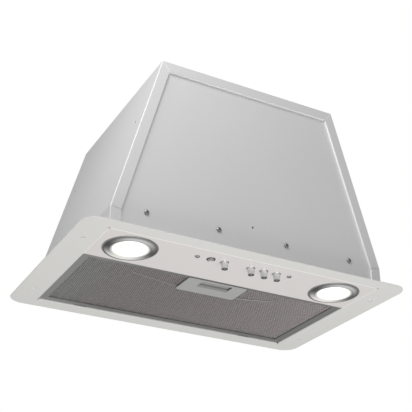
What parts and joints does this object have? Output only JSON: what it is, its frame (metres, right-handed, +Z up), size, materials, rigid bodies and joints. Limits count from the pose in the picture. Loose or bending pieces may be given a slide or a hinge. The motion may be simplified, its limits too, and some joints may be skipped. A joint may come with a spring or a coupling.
{
  "type": "range hood insert",
  "caption": "Built-in cooker hood: a folded pyramid body on a screw-up flange, with lamps, push-buttons, a drop-down grease filter and a top duct collar with non-return flaps.",
  "frame": {"origin": "centre of the flange's upper face, which bears on the cabinet, in the middle of its four screw holes", "axes": "+X along the flange's length, to the right seen from the front; +Y back to the wall; +Z up, the way the duct leaves"},
  "size_m": [0.525, 0.335, 0.3454],
  "materials": {
    "zinc_screw": "zinc plated",
    "wheel_metal": "galvanised",
    "body_paint": "satin light grey, slightly metallic",
    "ring_metal": "satin chrome",
    "gland_plastic": "moulded nylon",
    "spring_steel": "spring steel",
    "panel_paint": "satin light grey",
    "collar_plastic": "moulded",
    "filter_mesh_metal": "expanded mesh",
    "filter_frame_metal": "rolled, matt",
    "flange_paint": "satin grey enamel",
    "heat_sink": "die cast",
    "frosted_lens": "frosted, lit",
    "latch_plastic": "fine grain",
    "box_plastic": "moulded",
    "button_grey": "metallised gloss",
    "bearing_bronze": "sintered",
    "bracket_steel": "galvanised",
    "motor_metal": "die cast",
    "rubber_black": "matt",
    "shaft_steel": "ground",
    "capacitor_case": "moulded",
    "scroll_plastic": "glass-filled, fine grain",
    "black_plastic": "moulded, fine grain",
    "contact_board": "phenolic laminate"
  },
  "bodies": {
    "root": {"bank_screws": "zinc_screw", "body_wrapper": "body_paint", "bracket_screws": "zinc_screw", "button_bezels": "ring_metal", "cable_gland": "gland_plastic", "capacitor_clip": "spring_steel", "collar_screws": "zinc_screw", "control_panel": "panel_paint", "flange_frame": "flange_paint", "flap_pin": "spring_steel", "front_plate": "body_paint", "front_plate_nuts": "zinc_screw", "front_plate_screws": "zinc_screw", "gland_nut": "gland_plastic", "lamp_body_left": "heat_sink", "lamp_body_right": "heat_sink", "lamp_clips": "spring_steel", "lamp_glass_left": "frosted_lens", "lamp_glass_right": "frosted_lens", "lamp_ring_left": "ring_metal", "lamp_ring_right": "ring_metal", "led_driver": "box_plastic", "motor_bearings": "bearing_bronze", "motor_bracket": "bracket_steel", "motor_housing": "motor_metal", "motor_isolators": "rubber_black", "outlet_adaptor": "collar_plastic", "outlet_collar": "collar_plastic", "rear_panel": "body_paint", "run_capacitor": "capacitor_case", "scroll_half_left": "scroll_plastic", "scroll_half_right": "scroll_plastic", "scroll_screws": "zinc_screw", "switch_bank": "black_plastic", "switch_bank_cover": "contact_board", "terminal_box": "box_plastic", "terminal_box_lid": "box_plastic", "throat_screws": "zinc_screw"},
    "filter": {"filter_frame": "filter_frame_metal", "filter_mesh_lower": "filter_mesh_metal", "filter_core": "filter_mesh_metal", "filter_mesh_upper": "filter_mesh_metal", "latch_plate": "latch_plastic", "latch_spring": "spring_steel"},
    "filter_latch": {"latch_slider": "latch_plastic"},
    "blower_wheel": {"blower_wheel": "wheel_metal", "motor_shaft": "shaft_steel"},
    "flap_front": {"damper_flap_front": "collar_plastic"},
    "flap_back": {"damper_flap_back": "collar_plastic"},
    "light_button": {"light_button": "button_grey"},
    "stop_button": {"stop_button": "button_grey"},
    "speed_1_button": {"speed_1_button": "button_grey"},
    "speed_2_button": {"speed_2_button": "button_grey"},
    "speed_3_button": {"speed_3_button": "button_grey"}
  },
  "joints": [
    {"name": "filter_hinge", "type": "hinge", "parent": "root", "child": "filter", "pos_m": [0, 0.1396, 0.001], "axis": [1, 0, 0], "range_deg": [0, 80]},
    {"name": "latch_slide", "type": "slide", "parent": "filter", "child": "filter_latch", "axis": [0, 1, 0], "range_m": [0, 0.004], "stiffness_N_per_m": 400, "springref_m": -0.006, "deforming": ["latch_spring"]},
    {"name": "wheel_spin", "type": "hinge", "parent": "root", "child": "blower_wheel", "pos_m": [0, -0.04206, 0.148], "axis": [1, 0, 0], "continuous": true},
    {"name": "flap_front_hinge", "type": "hinge", "parent": "root", "child": "flap_front", "pos_m": [0, 0.018, 0.3115], "axis": [-1, 0, 0], "range_deg": [0, 75]},
    {"name": "flap_back_hinge", "type": "hinge", "parent": "root", "child": "flap_back", "pos_m": [0, 0.018, 0.3115], "axis": [1, 0, 0], "range_deg": [0, 75]},
    {"name": "light_button_travel", "type": "slide", "parent": "root", "child": "light_button", "axis": [0, 0, 1], "range_m": [-0.0096, 0.0008]},
    {"name": "stop_button_travel", "type": "slide", "parent": "root", "child": "stop_button", "axis": [0, 0, 1], "range_m": [0, 0.0096], "stiffness_N_per_m": 250, "springref_m": -0.004},
    {"name": "speed_1_button_travel", "type": "slide", "parent": "root", "child": "speed_1_button", "axis": [0, 0, 1], "range_m": [0, 0.0096], "stiffness_N_per_m": 250, "springref_m": -0.004},
    {"name": "speed_2_button_travel", "type": "slide", "parent": "root", "child": "speed_2_button", "axis": [0, 0, 1], "range_m": [0, 0.0096], "stiffness_N_per_m": 250, "springref_m": -0.004},
    {"name": "speed_3_button_travel", "type": "slide", "parent": "root", "child": "speed_3_button", "axis": [0, 0, 1], "range_m": [0, 0.0096], "stiffness_N_per_m": 250, "springref_m": -0.004}
  ]
}
